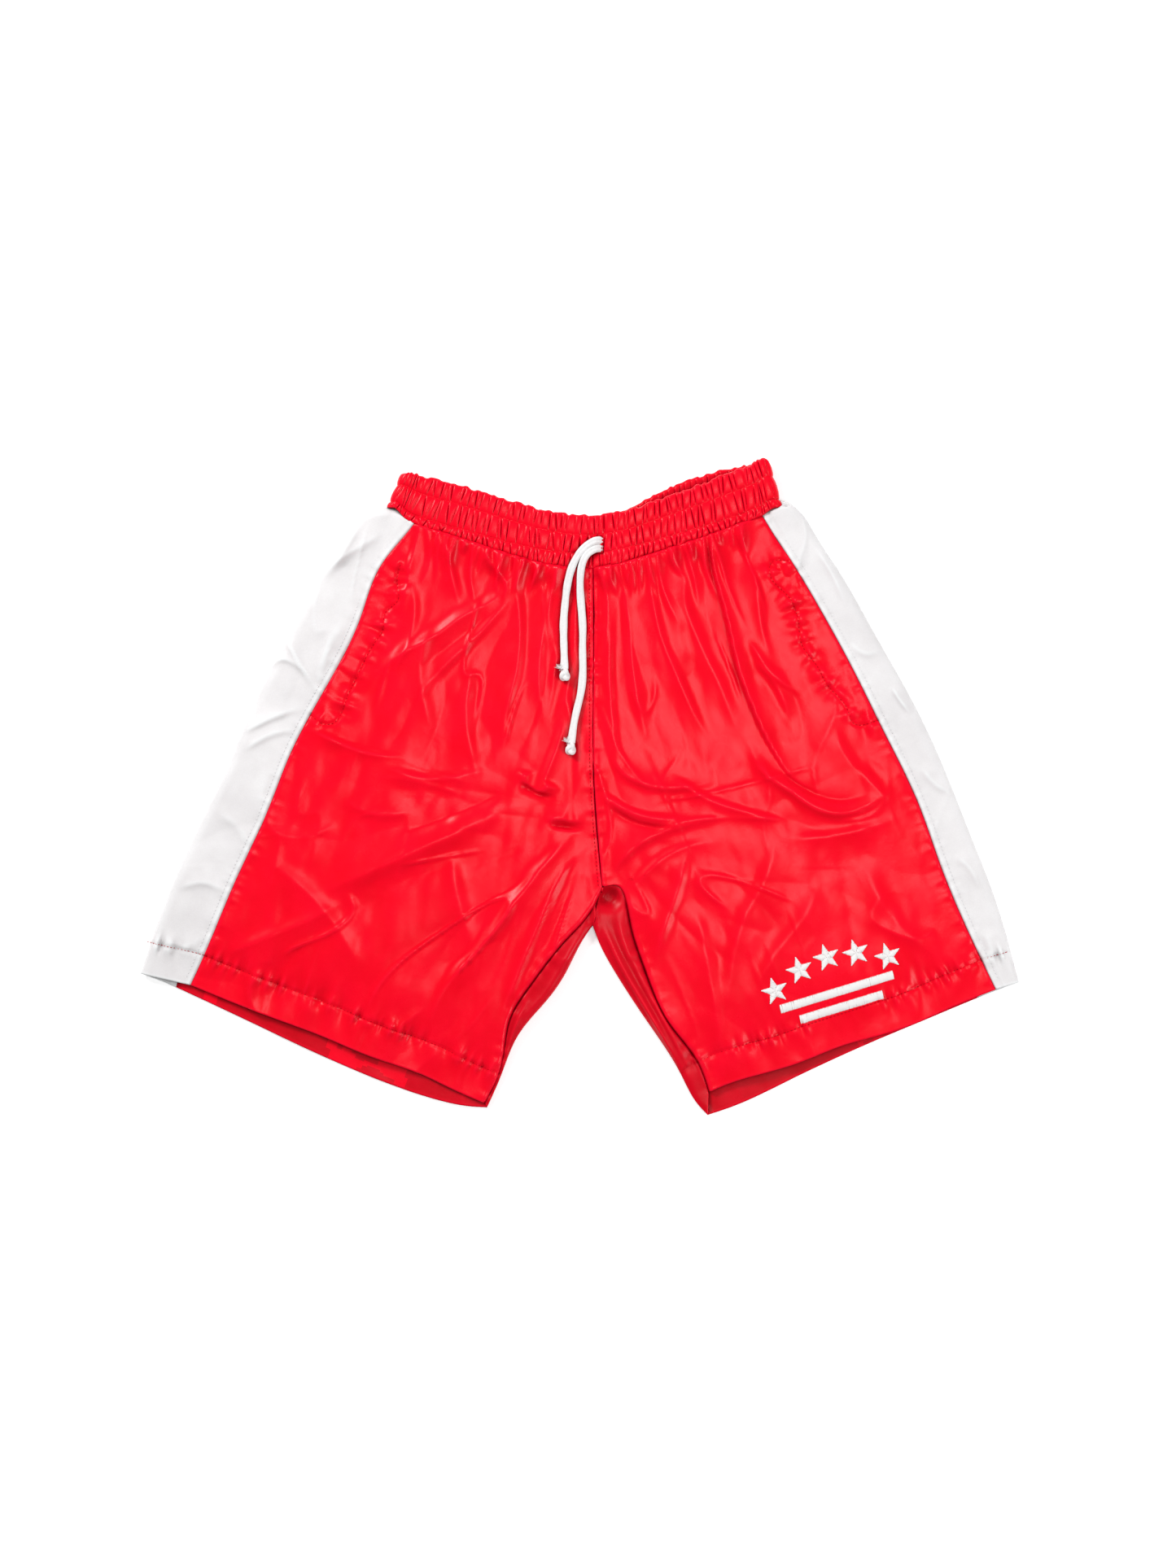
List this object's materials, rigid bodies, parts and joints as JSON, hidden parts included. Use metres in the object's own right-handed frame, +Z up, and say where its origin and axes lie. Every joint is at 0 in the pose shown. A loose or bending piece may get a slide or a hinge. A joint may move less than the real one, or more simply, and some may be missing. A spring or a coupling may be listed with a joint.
{
  "type": "boxing shorts",
  "caption": "Satin boxing shorts laid flat: gathered elastic waistband with a knotted drawcord, two legs with wide contrast side stripes, side pockets and an embroidered motif.",
  "frame": {"origin": "middle of the garment's outline, on the surface that it lies on", "axes": "+X towards the wearer's left leg, +Y towards the waist, +Z up out of the front of the garment"},
  "size_m": [0.7768, 0.5796, 0.0214],
  "materials": {
    "red_satin": "smooth satin weave with a soft sheen",
    "white_satin": "smooth white satin weave",
    "cord": "soft tubular braid",
    "elastic": "woven elastic webbing",
    "pocket_cloth": "light plain-weave pocketing",
    "embroidery_thread": "satin-stitched rayon thread",
    "stabiliser": "non-woven sheet",
    "white_thread": "sewing thread",
    "red_thread": "sewing thread"
  },
  "bodies": {
    "right_half": {"front_panel_right": "red_satin", "back_panel_right": "red_satin", "side_stripe_right": "white_satin", "waistband_casing_right": "red_satin", "waistband_stitching_right": "red_thread", "stripe_topstitching_right": "white_thread", "hem_stitching_right": "red_thread", "pocket_stitching_right": "red_thread", "pocket_bag_right": "pocket_cloth", "waist_elastic": "elastic", "drawcord_run": "cord", "buttonhole_stitching": "red_thread", "rise_stitching": "red_thread", "drawcord_end_short": "cord", "drawcord_end_long": "cord"},
    "left_half": {"front_panel_left": "red_satin", "back_panel_left": "red_satin", "side_stripe_left": "white_satin", "waistband_casing_left": "red_satin", "waistband_stitching_left": "red_thread", "stripe_topstitching_left": "white_thread", "hem_stitching_left": "red_thread", "pocket_stitching_left": "red_thread", "pocket_bag_left": "pocket_cloth", "embroidery_motif": "embroidery_thread", "embroidery_backing": "stabiliser"},
    "short_cord_tip": {"drawcord_knot_short": "cord"},
    "long_cord_tip": {"drawcord_knot_long": "cord"}
  },
  "joints": [
    {"name": "half_fold", "type": "hinge", "parent": "right_half", "child": "left_half", "pos_m": [0.016, 0, 0.019], "axis": [0, -1, 0], "range_deg": [0, 180], "deforming": ["waist_elastic", "drawcord_run"]},
    {"name": "short_cord_pull", "type": "slide", "parent": "right_half", "child": "short_cord_tip", "axis": [-0.2588, -0.9659, 0], "range_m": [0, 0.1], "deforming": ["drawcord_end_short"]},
    {"name": "long_cord_pull", "type": "slide", "parent": "right_half", "child": "long_cord_tip", "axis": [0, -1, 0], "range_m": [0, 0.1], "deforming": ["drawcord_end_long"]}
  ]
}
